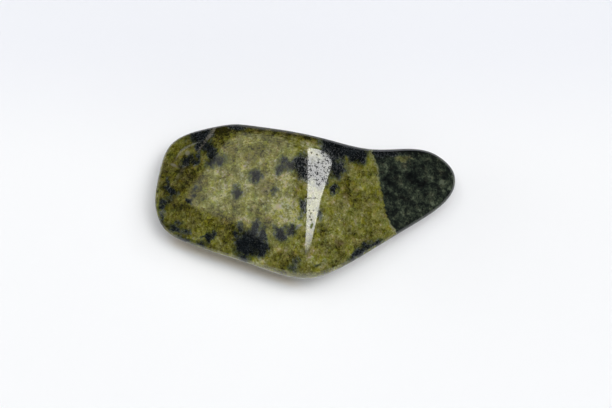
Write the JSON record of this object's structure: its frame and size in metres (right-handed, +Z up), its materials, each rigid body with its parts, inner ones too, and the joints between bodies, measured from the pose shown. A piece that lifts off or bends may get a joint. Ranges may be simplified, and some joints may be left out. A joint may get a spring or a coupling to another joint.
{
  "type": "polished serpentine pebble",
  "caption": "Tumbled and polished serpentine stone: olive green with black patches, a wide flat-topped end, a long slope down to a narrower rounded nose, resting on a small flat spot.",
  "frame": {"origin": "on the plane the stone rests on, under the middle of its bounding box", "axes": "+X along the stone's length towards its narrow nose, +Z up through its thickness, +Y towards the side that carries the rim with the shallow hollow"},
  "size_m": [0.036, 0.0192, 0.0104],
  "materials": {
    "stone": "polished"
  },
  "bodies": {
    "root": {"stone": "stone"}
  },
  "joints": []
}
